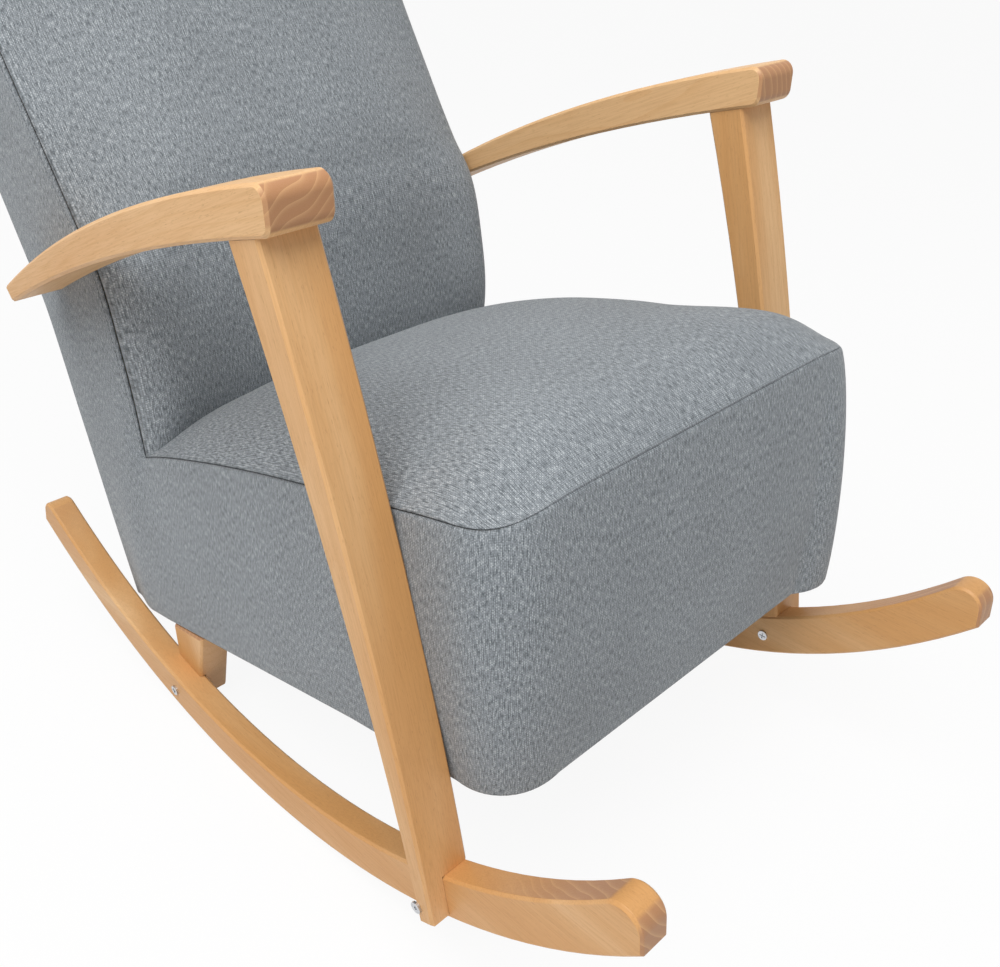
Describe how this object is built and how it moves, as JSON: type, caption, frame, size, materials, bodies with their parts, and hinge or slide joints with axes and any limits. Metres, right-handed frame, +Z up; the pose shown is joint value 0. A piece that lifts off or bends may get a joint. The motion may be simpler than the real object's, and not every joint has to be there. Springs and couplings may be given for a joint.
{
  "type": "rocking chair",
  "caption": "Upholstered rocking chair with bowed beech armrests, legs and rockers and a sprung seat and high back in blue-grey cloth.",
  "frame": {"origin": "On the floor, midway between the two rockers and midway along the chair's whole depth.", "axes": "+X to the sitter's left, -Y to the front, +Z up. The chair is stored as it rests, with its rockers on z = 0."},
  "size_m": [0.5952, 1.0832, 0.965],
  "materials": {
    "beech": "satin",
    "dowel_beech": "matte",
    "plywood": "matte",
    "frame_timber": "matte",
    "cover_fabric": "matte",
    "lining": "matte",
    "foam": "matte",
    "felt": "matte",
    "webbing": "matte",
    "spring_steel": "satin",
    "clip_plastic": "matte",
    "zinc_steel": "satin"
  },
  "bodies": {
    "root": {"arm_bolts": "zinc_steel", "arm_dowels": "dowel_beech", "arm_insert_nuts": "zinc_steel", "armrest_left": "beech", "armrest_right": "beech", "back_pad": "cover_fabric", "back_webbing": "webbing", "bolt_washers": "zinc_steel", "corner_blocks": "frame_timber", "crest_rail": "frame_timber", "dust_cover": "lining", "frame_screws": "zinc_steel", "front_board": "plywood", "front_leg_left": "beech", "front_leg_right": "beech", "front_pad": "cover_fabric", "front_rail": "frame_timber", "front_rocker_bolts": "zinc_steel", "front_sleeve_nuts": "zinc_steel", "leg_bolts": "zinc_steel", "leg_insert_nuts": "zinc_steel", "lumbar_rail": "frame_timber", "outside_back": "cover_fabric", "rear_leg_dowels": "dowel_beech", "rear_leg_left": "beech", "rear_leg_right": "beech", "rear_rail": "frame_timber", "rear_rocker_bolts": "zinc_steel", "rear_sleeve_nuts": "zinc_steel", "rocker_left": "beech", "rocker_right": "beech", "seat_foam": "foam", "seat_pad": "cover_fabric", "seat_rail_left": "frame_timber", "seat_rail_right": "frame_timber", "seat_springs": "spring_steel", "side_board_left": "plywood", "side_board_right": "plywood", "side_pad_left": "cover_fabric", "side_pad_right": "cover_fabric", "spring_clips": "clip_plastic", "spring_felt": "felt", "spring_rail": "frame_timber", "top_pad": "cover_fabric"}
  },
  "joints": []
}
